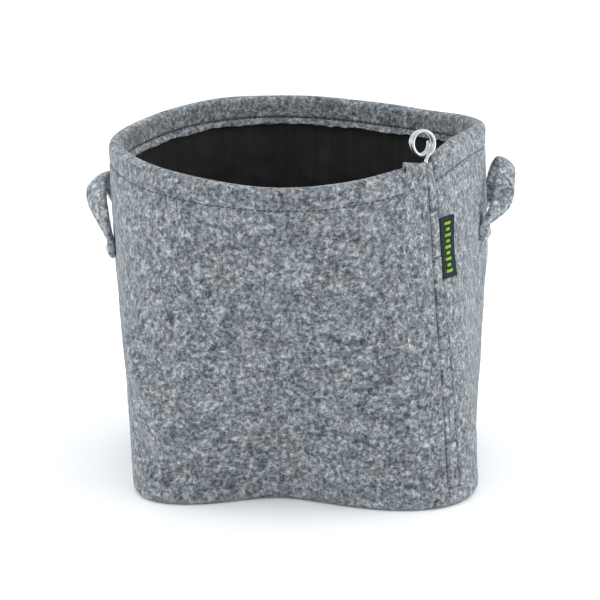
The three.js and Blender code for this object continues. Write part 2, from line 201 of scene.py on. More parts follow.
# (start, end, half width, size): the soft folds and hollows that the standing bag shows
FOLDS = [
    ((-143, 135), (-124, 50), 9, 5.2),
    ((-136, 52), (-131, 22), 12, -4.2),
    ((-57.5, 150), (-56.5, 45), 5, 0.9),
    ((-96, 62), (-84, 12), 15, -1.6),
    ((-72, 96), (-66, 20), 16, 1.4),
    ((-24, 120), (-14, 30), 14, 1.5),
    ((62, 150), (74, 20), 17, -2.0),
    ((118, 190), (104, 40), 18, 2.0),
    ((-178, 150), (-168, 30), 14, -1.4),
]


LARGE_LUMP, LARGE_LUMP_LENGTH = 0.7, 110
SMALL_LUMP, SMALL_LUMP_LENGTH = 0.32, 36
CALM_SHARE, CALM_HALF = 0.75, 12
FLAT_FOOT = 14


def relief(azimuth, height):
    """How far the standing wall is pushed out by its folds and lumps, the same for every layer."""
    calm = 1 - CALM_SHARE * bump(from_closure(azimuth) * POT_RADIUS, 0, CALM_HALF)
    small = SMALL_LUMP * np.clip((POT_HEIGHT - 30 - np.asarray(height, float)) / 60, 0, 1)
    total = LARGE_LUMP * waves(azimuth, height, 11, LARGE_LUMP_LENGTH)
    total = total + small * waves(azimuth, height, 12, SMALL_LUMP_LENGTH)
    for start, end, width, size in FOLDS:
        total = total + soft_fold(azimuth, height, start, end, width, size)
    settled_foot = np.clip(np.asarray(height, float) / FLAT_FOOT, 0, 1)
    beside = bump(from_closure(azimuth) * POT_RADIUS, -10, 4.5) * bump(height, 120, 110)
    return (total * calm + 0.8 * beside) * settled_foot


def settled(azimuth, depth, height):
    """Points of the standing bag, in millimetres, for points of the ideal round pot."""
    azimuth, depth, height = np.broadcast_arrays(
        np.asarray(azimuth, float), np.asarray(depth, float), np.asarray(height, float)
    )
    rise = np.minimum(height / POT_HEIGHT, 1)
    shift = wall_radius(azimuth, rise) - POT_RADIUS + relief(azimuth, height)
    radius = POT_RADIUS - depth
    radius = np.where(radius > FLOOR_RADIUS, radius + shift, radius * (1 + shift / FLOOR_RADIUS))
    z = rise * outline(RIM, azimuth) + np.maximum(height - POT_HEIGHT, 0)
    return np.stack([radius * np.cos(azimuth), radius * np.sin(azimuth), z], -1)


def sewn(azimuth, along, depth, height):
    """Settled points from (along the wall from azimuth, depth, height)."""
    return settled(azimuth + np.asarray(along, float) / POT_RADIUS, depth, height)


# ---- meshes


def add_object(name, points, faces, material):
    mesh = bpy.data.meshes.new(name)
    mesh.from_pydata((np.asarray(points, float) * MM).tolist(), [], faces)
    mesh.validate()
    made = bmesh.new()
    made.from_mesh(mesh)
    bmesh.ops.recalc_face_normals(made, faces=made.faces)
    made.to_mesh(mesh)
    made.free()
    for polygon in mesh.polygons:
        polygon.use_smooth = True
    mesh.set_sharp_from_angle(angle=SHARP_EDGE)
    mesh.materials.append(material)
    piece = bpy.data.objects.new(name, mesh)
    bpy.context.scene.collection.objects.link(piece)
    return piece


def grid_faces(rows, columns, first=0, wrap_rows=False, wrap_columns=False):
    faces = []
    for row in range(rows if wrap_rows else rows - 1):
        here, above = first + row * columns, first + ((row + 1) % rows) * columns
        for column in range(columns if wrap_columns else columns - 1):
            beside = (column + 1) % columns
            faces.append((here + column, here + beside, above + beside, above + column))
    return faces


def tube_faces(rings, sides, first=0):
    """A closed-section tube of several rings with its two ends shut."""
    faces = grid_faces(rings, sides, first, wrap_columns=True)
    faces.append(tuple(range(first, first + sides)))
    last = first + (rings - 1) * sides
    faces.append(tuple(range(last, last + sides)))
    return faces


def join_parts(parts):
    """(points, faces) of several separate closed shapes as one."""
    points, faces, first = [], [], 0
    for part_points, part_faces in parts:
        points.append(np.asarray(part_points).reshape(-1, 3))
        faces += [tuple(first + index for index in face) for face in part_faces]
        first += len(points[-1])
    return np.concatenate(points), faces


def resampled(line, count):
    """count points at even steps along a line of points."""
    line = np.asarray(line, float)
    reach = np.concatenate([[0], np.cumsum(np.linalg.norm(np.diff(line, axis=0), axis=1))])
    steps = np.linspace(0, reach[-1], count)
    return np.stack([np.interp(steps, reach, line[:, k]) for k in range(line.shape[1])], -1)


def arc(depth, height, radius, start, end, steps):
    angles = np.linspace(start, end, steps + 1) * RADIANS
    return [(depth - radius * math.cos(a), height + radius * math.sin(a)) for a in angles]


def thread(path, radius, sides=6, taper=0.55):
    """A thread along a path of points, tapering at its ends. Gives points and faces."""
    path = np.asarray(path, float)
    tangent = np.gradient(path, axis=0)
    tangent /= np.linalg.norm(tangent, axis=1)[:, None]
    guide = np.array([0.0, 0.0, 1.0])
    if abs(tangent[len(path) // 2] @ guide) > 0.8:
        guide = path[len(path) // 2] * np.array([1.0, 1.0, 0.0])
        guide /= np.linalg.norm(guide)
    side = np.cross(tangent, guide)
    side /= np.linalg.norm(side, axis=1)[:, None]
    up = np.cross(side, tangent)
    angles = np.linspace(0, 2 * np.pi, sides, endpoint=False)
    ends = np.sin(np.linspace(0, np.pi, len(path)))
    size = radius * (taper + (1 - taper) * ends**0.5)
    rings = path[:, None] + size[:, None, None] * (
        np.cos(angles)[None, :, None] * side[:, None] + np.sin(angles)[None, :, None] * up[:, None]
    )
    return rings.reshape(-1, 3), tube_faces(len(path), sides)


# ---- materials


class Shader:
    """Short calls for building a procedural material's nodes."""

    def __init__(self, name):
        self.material = bpy.data.materials.new(name)
        self.material.use_nodes = True
        self.tree = self.material.node_tree
        self.principled = self.tree.nodes["Principled BSDF"]
        self.place = self.node("ShaderNodeTexCoord").outputs["Object"]

    def node(self, kind, **settings):
        made = self.tree.nodes.new(kind)
        for key, value in settings.items():
            setattr(made, key, value)
        return made

    def link(self, source, target):
        if isinstance(source, (int, float, tuple)):
            target.default_value = source
        else:
            self.tree.links.new(source, target)

    def mapped(self, scale=(1, 1, 1), rotation=(0, 0, 0), source=None):
        made = self.node("ShaderNodeMapping")
        self.link(source or self.place, made.inputs["Vector"])
        made.inputs["Scale"].default_value = scale
        made.inputs["Rotation"].default_value = rotation
        return made.outputs["Vector"]

    def noise(self, scale, detail=2.0, rough=0.5, distortion=0.0, vector=None, kind="FBM", colour=False):
        made = self.node("ShaderNodeTexNoise", noise_type=kind)
        self.link(vector or self.place, made.inputs["Vector"])
        made.inputs["Scale"].default_value = scale
        made.inputs["Detail"].default_value = detail
        made.inputs["Roughness"].default_value = rough
        made.inputs["Distortion"].default_value = distortion
        return made.outputs["Color" if colour else "Fac"]

    def ramp(self, value, stops):
        made = self.node("ShaderNodeValToRGB")
        self.link(value, made.inputs["Fac"])
        points = made.color_ramp.elements
        while len(points) < len(stops):
            points.new(0.5)
        for point, (position, colour) in zip(points, stops):
            point.position = position
            grey = isinstance(colour, (int, float))
            point.color = (colour, colour, colour, 1) if grey else (*colour, 1)
        return made.outputs["Color"]

    def span(self, value, low, high, to_low=0.0, to_high=1.0):
        made = self.node("ShaderNodeMapRange")
        self.link(value, made.inputs["Value"])
        for key, number in (("From Min", low), ("From Max", high), ("To Min", to_low), ("To Max", to_high)):
            made.inputs[key].default_value = number
        return made.outputs["Result"]

    def math(self, operation, first, second=0.0, third=None):
        made = self.node("ShaderNodeMath", operation=operation)
        self.link(first, made.inputs[0])
        self.link(second, made.inputs[1])
        if third is not None:
            self.link(third, made.inputs[2])
        return made.outputs["Value"]

    def mix(self, share, first, second, blend="MIX"):
        made = self.node("ShaderNodeMix", data_type="RGBA", blend_type=blend)
        self.link(share, made.inputs["Factor"])
        self.link(first if not isinstance(first, tuple) else (*first, 1), made.inputs[6])
        self.link(second if not isinstance(second, tuple) else (*second, 1), made.inputs[7])
        return made.outputs[2]

    def bump(self, height, distance, strength=1.0, normal=None):
        made = self.node("ShaderNodeBump")
        self.link(height, made.inputs["Height"])
        made.inputs["Distance"].default_value = distance
        made.inputs["Strength"].default_value = strength
        if normal is not None:
            self.link(normal, made.inputs["Normal"])
        return made.outputs["Normal"]

    def set(self, **inputs):
        for key, value in inputs.items():
            self.link(value, self.principled.inputs[key.replace("_", " ")])
        return self.material


def felt_material(name, shade=1.0):
    """Heather needled felt: dark and light fibres matted in all directions, with a matt, hairy face."""
    s = Shader(name)
    warp = s.noise(190, 2, colour=True)
    warped = s.node("ShaderNodeVectorMath", operation="MULTIPLY_ADD")
    s.link(warp, warped.inputs[0])
    warped.inputs[1].default_value = (0.0028, 0.0028, 0.0028)
    s.link(s.place, warped.inputs[2])
    bent = warped.outputs["Vector"]
    tufts = s.noise(130, 2, 0.6, 0.5, bent)
    matted = s.noise(320, 4, 0.68, 0.4, bent)
    strands = []
    for turn, (rotation, stretch) in enumerate([
        ((0.2, 0.9, 0.4), (1, 1, 0.22)), ((1.1, -0.5, 1.3), (1, 0.22, 1)), ((-0.8, 0.3, 2.2), (0.22, 1, 1)),
    ]):
        strands.append(s.noise(640 + 80 * turn, 1.5, 0.5, 0.2, s.mapped(stretch, rotation, bent)))
    pale = s.span(s.math("MAXIMUM", strands[0], strands[1]), 0.56, 0.74)
    dark = s.span(s.math("MINIMUM", strands[2], strands[1]), 0.44, 0.27)
    pattern = s.math("MULTIPLY_ADD", tufts, 0.4, s.math("MULTIPLY", matted, 1.0))
    value = s.span(pattern, 0.475, 0.9)
    value = s.math("MULTIPLY_ADD", pale, 0.14, s.math("MULTIPLY_ADD", dark, -0.26, value))
    tone = s.ramp(value, [
        (0.0, (0.03 * shade, 0.034 * shade, 0.041 * shade)),
        (0.3, (0.094 * shade, 0.106 * shade, 0.12 * shade)),
        (0.52, (0.178 * shade, 0.198 * shade, 0.218 * shade)),
        (0.75, (0.3 * shade, 0.324 * shade, 0.344 * shade)),
        (1.0, (0.52 * shade, 0.54 * shade, 0.55 * shade)),
    ])
    tint = s.mix(s.span(s.noise(42, 2, 0.5), 0.38, 0.66), (1.0, 0.992, 0.975), (0.97, 1.0, 1.01))
    tone = s.mix(1.0, tone, tint, "MULTIPLY")
    coarse = s.bump(pattern, 0.0014, 0.7)
    fine = s.bump(s.math("SUBTRACT", pale, dark), 0.0006, 0.6, coarse)
    s.set(Base_Color=tone, Roughness=s.span(value, 0, 1, 0.98, 0.86), Normal=fine)
    s.set(Sheen_Weight=0.22, Sheen_Roughness=0.6, Sheen_Tint=(0.9, 0.95, 1.0, 1), Specular_IOR_Level=0.15)
    return s.material


def lining_material():
    """Black laminated lining: fine vertical streaks, faint creases and a soft sheen."""
    s = Shader("black_lining_cloth")
    streaks = s.noise(130, 3, 0.6, 0.2, s.mapped((1, 1, 0.06)))
    weave = s.noise(1500, 1, 0.5)
    creases = s.noise(22, 3, 0.55, 0.6)
    tone = s.ramp(streaks, [(0.3, (0.0062, 0.0062, 0.007)), (0.7, (0.0155, 0.0155, 0.0175))])
    normal = s.bump(creases, 0.004, 0.35)
    normal = s.bump(streaks, 0.0012, 0.5, normal)
    normal = s.bump(weave, 0.0003, 0.5, normal)
    s.set(Base_Color=tone, Roughness=s.span(streaks, 0.3, 0.7, 0.62, 0.48), Normal=normal)
    s.set(Specular_IOR_Level=0.35, Sheen_Weight=0.08, Sheen_Roughness=0.5)
    return s.material


def thread_material(name, dark, light):
    """Twisted sewing thread, darker in its twist."""
    s = Shader(name)
    twist = s.noise(1900, 2, 0.6, 0.4, s.mapped((1, 1, 1), (0.6, 0.4, 0.2)))
    tone = s.ramp(twist, [(0.35, dark), (0.65, light)])
    s.set(Base_Color=tone, Roughness=0.75, Normal=s.bump(twist, 0.0004, 0.8))
    s.set(Sheen_Weight=0.2, Sheen_Roughness=0.5)
    return s.material


def steel_material():
    """Bright drawn wire with fine lines, a little dulled in patches."""
    s = Shader("drawn_steel")
    patches = s.noise(140, 3, 0.6)
    lines = s.noise(2600, 2, 0.5, 0.2, s.mapped((1, 1, 0.12)))
    tone = s.ramp(patches, [(0.3, (0.4, 0.41, 0.43)), (0.7, (0.6, 0.615, 0.63))])
    rough = s.math("MULTIPLY_ADD", lines, 0.08, s.span(patches, 0.3, 0.7, 0.26, 0.16))
    s.set(Base_Color=tone, Metallic=1.0, Roughness=rough, Normal=s.bump(lines, 0.00012, 0.35))
    return s.material


def woven_material(name, dark, light, across=1250, along=1250):
    """Woven tape: crossing threads with slight colour differences."""
    s = Shader(name)
    warp = s.noise(across, 1, 0.5, 0, s.mapped((1, 1, 0.2)))
    weft = s.noise(along, 1, 0.5, 0, s.mapped((0.2, 0.2, 1)))
    weave = s.math("MAXIMUM", warp, weft)
    worn = s.noise(120, 3, 0.6)
    tone = s.ramp(s.math("MULTIPLY_ADD", worn, 0.35, s.math("MULTIPLY", weave, 0.65)),
                  [(0.42, dark), (0.62, light)])
    s.set(Base_Color=tone, Roughness=0.8, Normal=s.bump(weave, 0.0005, 0.8), Specular_IOR_Level=0.12)
    s.set(Sheen_Weight=0.04, Sheen_Roughness=0.4)
    return s.material


def floor_material():
    s = Shader("pale_floor")
    grain = s.noise(3, 2)
    s.set(Base_Color=s.ramp(grain, [(0.3, (0.95, 0.97, 0.985)), (0.7, (0.96, 0.98, 0.995))]), Roughness=0.9)
    return s.material


FELT_FACE = felt_material("grey_heather_felt")
# the straps use the wall's felt with its colour raised 1.3 times: painted light, standing in for the brighter
# light that falls on the handles
FELT_STRAP_PAINTED_LIGHTER = felt_material("grey_strap_felt_painted_lighter", 1.3)
LINING_CLOTH = lining_material()
SEAM_THREAD = thread_material("dark_seam_thread", (0.012, 0.013, 0.015), (0.05, 0.055, 0.06))
PALE_THREAD = thread_material("grey_closure_thread", (0.13, 0.14, 0.155), (0.3, 0.32, 0.34))
STEEL = steel_material()
LABEL_CLOTH = woven_material("dark_label_cloth", (0.006, 0.013, 0.013), (0.017, 0.031, 0.031))
LIME_THREAD = woven_material("lime_label_thread", (0.17, 0.33, 0.015), (0.3, 0.52, 0.045), 2600, 2600)

# ---- the felt wall


def stitched_groove(size, half, centre, low, high, count):
    """(push in, height) of one face of felt across a row of stitches."""
    heights = np.linspace(low, high, count)
    return [(size * math.exp(-(((h - centre) / half) ** 2)), h) for h in heights]


GROOVE_DEPTH = 1.3
GROOVE_HALF = 1.5
GROOVE_REACH = 4.4
LAP_GROOVE_DEPTH = 2.0
LAP_GROOVE_HALF = 1.0
OUTER_LEVELS = 96
WALL_COLUMNS = 436
FOOT_POINTS = 27
SLOT_HALF = 5.3
KNUCKLE_HALF = 5.1
KNUCKLE_FRONT = 5.3


def hem_profile():
    """The folded wall's section as (depth, height), up the outer face first, and where the hem starts
    and ends in it."""
    foot_top = FOLD_RADIUS
    groove_low, groove_high = STITCH_HEIGHT - GROOVE_REACH, STITCH_HEIGHT + GROOVE_REACH
    outer = [(0, h) for h in np.linspace(foot_top, groove_low, OUTER_LEVELS, endpoint=False)]
    hem = stitched_groove(GROOVE_DEPTH, GROOVE_HALF, STITCH_HEIGHT, groove_low, groove_high, 13)
    hem += [(0, h) for h in np.linspace(groove_high, FOLD_TOP, 7)[1:-1]]
    hem += arc(FOLD_RADIUS, FOLD_TOP, FOLD_RADIUS, 0, 180, 18)
    lap = stitched_groove(
        LAP_GROOVE_DEPTH, LAP_GROOVE_HALF, STITCH_HEIGHT, groove_high, groove_low + 0.6, 19
    )
    hem += [(FOLDED, h) for h in np.linspace(FOLD_TOP, groove_high, 6)[1:-1]]
    hem += [(FOLDED - push, h) for push, h in lap]
    lap_low = POT_HEIGHT - HEM_DEPTH
    hem += [(FOLDED, lap_low + 0.7), (FOLDED - 0.7, lap_low), (FOLDED - FELT / 2, lap_low)]
    hem += [(FOLDED - FELT + 0.7, lap_low), (FELT + FOLD_SLOT, lap_low + 0.7)]
    hem += [(FELT + FOLD_SLOT, h) for h in np.linspace(lap_low + 2, FOLD_TOP, 7)[:-1]]
    hem += arc(FOLD_RADIUS, FOLD_TOP, FOLD_SLOT / 2, 180, 0, 5)
    inner = [(FELT, h) for h in np.linspace(FOLD_TOP, foot_top, 30)[1:-1]]
    foot = arc(FOLD_RADIUS, foot_top, FOLD_SLOT / 2, 360, 180, 5)
    foot += [(FELT + FOLD_SLOT, 7), (FELT + FOLD_SLOT, SEAM_ALLOWANCE - 0.6)]
    foot += [(FELT + FOLD_SLOT + 0.6, SEAM_ALLOWANCE), (FOLDED - 0.6, SEAM_ALLOWANCE)]
    foot += [(FOLDED, SEAM_ALLOWANCE - 0.6)]
    foot += arc(FOLD_RADIUS, foot_top, FOLD_RADIUS, 180, 360, 16)[:-1]
    assert len(foot) == FOOT_POINTS
    return np.array(outer + hem + inner + foot), len(outer), len(outer) + len(hem)


def unfolded(hem, first, last, top, bottom=None):
    """The same points where the wall stands unfolded, its top edge at the height top."""
    low = hem[first][1] if bottom is None else bottom
    up = [(0, low), (0, top - 1.2), (0.35, top - 0.35), (1.2, top)]
    down = [(FELT - 1.2, top), (FELT - 0.35, top - 0.35), (FELT, top - 1.2), (FELT, hem[last][1])]
    section = hem.copy()
    section[first:last + 1] = resampled(up + down, last - first + 1)
    return section


def flap_top(from_rod):
    """The height of the level-cut left edge, so far from the rod."""
    return POT_HEIGHT - STRIP_DIP + (STRIP_RISE + STRIP_DIP) * from_rod / FLAP_REACH


def felt_wall():
    """One closed ring of felt, hemmed all round but for the flap at the closure, with the closure's
    slot open above its foot."""
    hem, first, last = hem_profile()
    edge = np.array([0.0, 0.4, 0.9, 1.7, 2.8, 4.2])
    plain = np.linspace(SLOT_HALF + 6.6, GIRTH - FLAP_REACH - 0.4, WALL_COLUMNS)
    hemmed = np.concatenate([SLOT_HALF + 0.4 + edge, plain])
    flap = np.concatenate([np.linspace(FLAP_REACH, SLOT_HALF + 5.6, 9), SLOT_HALF + edge[::-1]])
    slot = np.linspace(SLOT_HALF - 0.3, 0.3 - SLOT_HALF, 7)
    foot_last = len(hem) - FOOT_POINTS
    sill = unfolded(hem, 0, foot_last, KNUCKLE_BOTTOM - CLEARANCE)
    along, sections = [SLOT_HALF], [unfolded(hem, first, last, POT_HEIGHT - 1)]
    for place in hemmed:
        along.append(place)
        sections.append(hem)
    for from_rod in flap:
        along.append(GIRTH - from_rod)
        sections.append(unfolded(hem, first, last, flap_top(from_rod)))
    for from_rod in slot:
        along.append(GIRTH - from_rod)
        sections.append(sill)
    along, sections = np.array(along), np.array(sections)
    depth, height = sections[..., 0], sections[..., 1]
    azimuth = np.repeat((CLOSURE + along / POT_RADIUS)[:, None], depth.shape[1], 1)
    depth, height = work_the_felt(azimuth, depth, height)
    points = settled(azimuth, depth, height)
    return points.reshape(-1, 3), grid_faces(*depth.shape, wrap_rows=True, wrap_columns=True)


RAW_EDGE = 5
NOTCH_ALONG, NOTCH_SIZE, NOTCH_HALF = 118, 3.2, 6
FLARE, FLARE_VARIES = 3.2, 0.7
PRESSED_HALF = 9
CREST_WAVE = 0.3
ROLLED_EDGE = 0.6


def work_the_felt(azimuth, depth, height):
    """Small things that hands, scissors and needles did to the wall."""
    low_edge = POT_HEIGHT - HEM_DEPTH
    at_lap = (depth > FELT + 0.5) & (height > low_edge - 1)
    low_lap = at_lap & (height < low_edge + RAW_EDGE)
    snip = 0.5 * waves(azimuth, 0, 31, 60) + 0.3 * waves(azimuth, 0, 32, 15)
    notch = NOTCH_SIZE * bump(from_closure(azimuth) * POT_RADIUS, NOTCH_ALONG, NOTCH_HALF)
    share = np.clip((low_edge + RAW_EDGE - height) / RAW_EDGE, 0, 1)
    height = height + np.where(low_lap, share * (snip + notch), 0)
    flare = FLARE + FLARE_VARIES * waves(azimuth, 0, 33, 80)
    depth = depth + np.where(low_lap, share * np.maximum(flare, 0), 0)
    along = np.mod(from_closure(azimuth), 2 * math.pi) * POT_RADIUS
    hem_end = GIRTH - FLAP_REACH
    shut = FOLD_SLOT * 0.75 * np.exp(-((hem_end - along) / PRESSED_HALF) ** 2)
    pressed = shut * np.clip((depth - FELT) / FOLD_SLOT, 0, 1)
    depth = depth - np.where(height > low_edge - 1, pressed, 0)
    crest = np.clip((height - FOLD_TOP) / FOLD_RADIUS, 0, 1)
    height = height + crest * CREST_WAVE * waves(azimuth, 0, 34, 70)
    skin = 0.13 * waves(azimuth, height, 41, 9, 14) + 0.09 * waves(azimuth, height, 42, 5, 14)
    outward = np.where(depth < 0.8, 1, np.where(depth > FOLDED - 0.8, -1, 0))
    from_slot = np.abs(from_closure(azimuth)) * POT_RADIUS - SLOT_HALF
    rolled = ROLLED_EDGE * np.exp(-((np.maximum(from_slot, 0) / 0.8) ** 2)) * (height > KNUCKLE_BOTTOM)
    rolled = rolled * np.where(depth < 0.8, 1, np.where(np.abs(depth - FELT) < 0.5, -0.5, 0))
    return depth - outward * skin + rolled, height


# ---- the other cloth


def lining_wall():
    outer, inner = FELT + LINING_GAP, FELT + LINING_GAP + LINING
    low, high = FOLD_RADIUS + 1, FOLD_TOP - 1
    levels = np.linspace(low, high, 90)
    columns = 420
    start, end = CLOSURE + CLOSURE_HALF / POT_RADIUS, CLOSURE + 2 * math.pi - CLOSURE_HALF / POT_RADIUS
    azimuth = np.linspace(start, end, columns)
    grid_azimuth, grid_height = np.meshgrid(azimuth, levels, indexing="ij")
    above_foot = np.clip((grid_height - 22) / 40, 0, 1)
    free = above_foot * np.clip((POT_HEIGHT - HEM_DEPTH - 8 - grid_height) / 40, 0, 1)
    upright = 0.8 * waves(grid_azimuth, grid_height * 0.25, 51, 42)
    wrinkle = free * (0.9 + upright + 0.4 * waves(grid_azimuth, grid_height, 52, 24))
    wrinkle = np.maximum(wrinkle, 0)
    faces_in = settled(grid_azimuth, inner + wrinkle, grid_height)
    faces_out = settled(grid_azimuth, outer + wrinkle, grid_height)
    section = np.concatenate([faces_out, faces_in[:, ::-1]], axis=1)
    rows = section.shape[1]
    faces = grid_faces(columns, rows, wrap_columns=True)
    faces.append(tuple(range(rows)))
    faces.append(tuple(range((columns - 1) * rows, columns * rows)))
    return section.reshape(-1, 3), faces


def disc(profile, columns):
    """A ring section whose first and last points are on the axis."""
    profile = np.asarray(profile, float)
    azimuth = np.linspace(0, 2 * math.pi, columns, endpoint=False)
    ring = profile[1:-1]
    points = settled(azimuth[:, None], ring[None, :, 0], ring[None, :, 1]).reshape(-1, 3)
    faces = grid_faces(columns, len(ring), wrap_rows=True)
    low, high = len(points), len(points) + 1
    poles = settled(0.0, profile[[0, -1], 0], profile[[0, -1], 1])
    poles[:, :2] = 0
    for column in range(columns):
        here, beside = column * len(ring), ((column + 1) % columns) * len(ring)
        faces.append((low, here, beside))
        faces.append((high, beside + len(ring) - 1, here + len(ring) - 1))
    return np.concatenate([points, poles]), faces


def base_panel():
    flat = POT_RADIUS - FLOOR_RADIUS
    lower = [(POT_RADIUS, 0), (110, 0), (70, 0), (flat, 0), (22, 0)]
    edge = arc(BASE_EDGE, FELT, FELT, 270, 360, 8)
    edge += [(FOLDED + CLEARANCE, 6), (FOLDED + CLEARANCE, SEAM_ALLOWANCE - 0.7)]
    edge += [(FOLDED + CLEARANCE + 0.7, SEAM_ALLOWANCE), (BASE_EDGE - 0.7, SEAM_ALLOWANCE)]
    edge += [(BASE_EDGE, SEAM_ALLOWANCE - 0.7), (BASE_EDGE, 6), (BASE_EDGE, FELT + 0.7)]
    edge += [(BASE_EDGE + 0.7, FELT)]
    upper = [(22, FELT), (flat, FELT), (70, FELT), (110, FELT), (POT_RADIUS, FELT)]
    return disc(lower + edge + upper, 288)


def base_cloth():
    edge, flat = BASE_EDGE + CLEARANCE, POT_RADIUS - FLOOR_RADIUS
    low, high = FELT + CLEARANCE, FELT + CLEARANCE + LINING
    steps = [POT_RADIUS, 130, 110, 90, 70, 50, flat, 22, edge + 0.4]
    lower = [(depth, low) for depth in steps]
    rim = [(edge, low + 0.2), (edge, high - 0.2)]
    upper = [(depth, high) for depth in reversed(steps)]
    return disc(lower + rim + upper, 240)


# ---- stitches


def stitch_run(azimuth, along, depth, height, length, sink, radius, upright=False):
    """One stitch, an arched thread whose ends dive into the felt."""
    way = np.linspace(-length / 2, length / 2, 7)
    dive = sink * (np.abs(way) / (length / 2)) ** 3
    sideways, up = (0 * way, way) if upright else (way, 0 * way)
    path = sewn(azimuth, along + sideways, depth + dive, height + up)
    return thread(path, radius)


def stitch_row(places, depth, height, outward, radius=STITCH_RADIUS):
    """Stitches side by side round the wall. outward is 1 on the outer face and -1 on the inner one."""
    pick = random.Random(7)
    parts = []
    for along in places:
        drift = pick.uniform(-0.25, 0.25)
        length, sink = STITCH_PITCH * STITCH_SHARE, 0.9 * outward
        parts.append(stitch_run(CLOSURE, along, depth, height + drift, length, sink, radius))
    return join_parts(parts)


def hem_places():
    first, last = CLOSURE_HALF + 2.5, GIRTH - FLAP_REACH - 3
    return np.linspace(first, last, round((last - first) / STITCH_PITCH))


def upright_row(along, low, high, depth):
    pick = random.Random(8)
    parts = []
    for height in np.arange(low, high, STITCH_PITCH):
        drift = pick.uniform(-0.15, 0.15)
        length = STITCH_PITCH * STITCH_SHARE
        parts.append(
            stitch_run(CLOSURE, along + drift, depth, height, length, 0.8, UPRIGHT_STITCH_RADIUS, True)
        )
    return join_parts(parts)


# ---- closure


def closure_solid(side):
    """One closure strip: its flange inside the wall and its knuckles round the rod's tunnel."""
    span = (POT_HEIGHT - STRIP_DIP - KNUCKLE_BOTTOM) / KNUCKLES
    top = POT_HEIGHT if side < 0 else POT_HEIGHT - HEM_DEPTH - 1
    parts = [flange(side, top)]
    for index in range(0 if side < 0 else 1, KNUCKLES, 2):
        low = KNUCKLE_BOTTOM + index * span + CLEARANCE / 2
        parts.append(knuckle(side, low, low + span - CLEARANCE))
    return join_parts(parts)


def flange(side, top):
    near, far = side * (CLOSURE_HALF + 0.2), side * STRIP_REACH
    middle = (STRIP_OUTER_DEPTH + STRIP_INNER_DEPTH) / 2
    half = (STRIP_INNER_DEPTH - STRIP_OUTER_DEPTH) / 2
    across = np.linspace(near, far, 9)
    section = [(a, middle - half) for a in across] + [(far + side * 0.3, middle)]
    section += [(a, middle + half) for a in across[::-1]] + [(near - side * 0.1, middle)]
    section = np.array(section)
    levels = np.linspace(KNUCKLE_BOTTOM, top, 90)
    lift = np.zeros_like(section[:, 0])
    if side < 0:
        lift = np.minimum(flap_top(np.abs(section[:, 0])) - POT_HEIGHT, -2) - 1
    heights = levels[:, None] + np.where(levels[:, None] > POT_HEIGHT - 1, lift[None], 0)
    points = sewn(CLOSURE, section[None, :, 0], section[None, :, 1], heights)
    return points.reshape(-1, 3), tube_faces(len(levels), len(section))


def knuckle(side, low, high):
    """A loop of felt round the tunnel, flat and full in front like a pressed tube, with rounded ends
    and the web that ties it to the flange. The top one sinks in, where the closure's mouth opens."""
    angles = np.linspace(0, 2 * np.pi, 48, endpoint=False)
    circle = np.stack([np.cos(angles), np.sin(angles)], -1)
    front = circle[:, 1] < 0
    power = np.where(front, 0.42, 1.0)
    deep = np.where(front, KNUCKLE_FRONT, KNUCKLE_RADIUS)
    outer = np.stack([
        KNUCKLE_HALF * np.sign(circle[:, 0]) * np.abs(circle[:, 0]) ** power,
        deep * np.sign(circle[:, 1]) * np.abs(circle[:, 1]) ** power,
    ], -1)
    web_low = TUNNEL_RADIUS + 0.4
    web = (outer[:, 1] > web_low) & (side * outer[:, 0] > 0)
    outer[web, 0] = side * (CLOSURE_HALF + 2)
    outer[web, 1] = np.minimum(outer[web, 1], STRIP_INNER_DEPTH - ROD_DEPTH)
    round_off = 0.8
    levels = [(low, 0.84), (low + round_off * 0.3, 0.94), (low + round_off, 1.0)]
    levels += [(h, 1.0) for h in np.linspace(low + round_off, high - round_off, 16)[1:-1]]
    levels += [(high - round_off, 1.0), (high - round_off * 0.3, 0.94), (high, 0.84)]
    rings = []
    for height, share in levels:
        mouth = np.clip((height - POT_HEIGHT + 20) / 14, 0, 1)
        skin = np.where(web[:, None], outer, outer * share)
        sunk = np.where(front, 1 - 0.42 * mouth, 1.0)
        rings.append(sewn(CLOSURE, skin[:, 0], ROD_DEPTH + skin[:, 1] * sunk, height))
    for height, _ in levels[::-1]:
        bore = circle * TUNNEL_RADIUS
        rings.append(sewn(CLOSURE, bore[:, 0], ROD_DEPTH + bore[:, 1], height))
    rings = np.array(rings)
    return rings.reshape(-1, 3), grid_faces(len(rings), len(angles), wrap_rows=True, wrap_columns=True)


def rod_frame():
    """The rod's foot, its axis and the two directions of its ring, as in the CAD part."""
    foot = plain_point(CLOSURE, ROD_DEPTH, KNUCKLE_BOTTOM)
    top = plain_point(CLOSURE, ROD_DEPTH, POT_HEIGHT - STRIP_DIP)
    up = (top - foot) / np.linalg.norm(top - foot)
    inward = np.array([-math.cos(CLOSURE), -math.sin(CLOSURE), 0])
    cos, sin = math.cos(RING_TWIST), math.sin(RING_TWIST)
    inward = inward * cos + np.cross(up, inward) * sin + up * (up @ inward) * (1 - cos)
    inward -= up * (up @ inward)
    inward /= np.linalg.norm(inward)
    return foot, up, inward, np.cross(inward, up), float(np.linalg.norm(top - foot)) + 1


def plain_point(azimuth, depth, height):
    """A settled point without the folds, where the CAD part has it."""
    return settled(azimuth, depth, height) - radial(azimuth) * relief(azimuth, height)


def radial(azimuth):
    return np.array([math.cos(azimuth), math.sin(azimuth), 0.0])


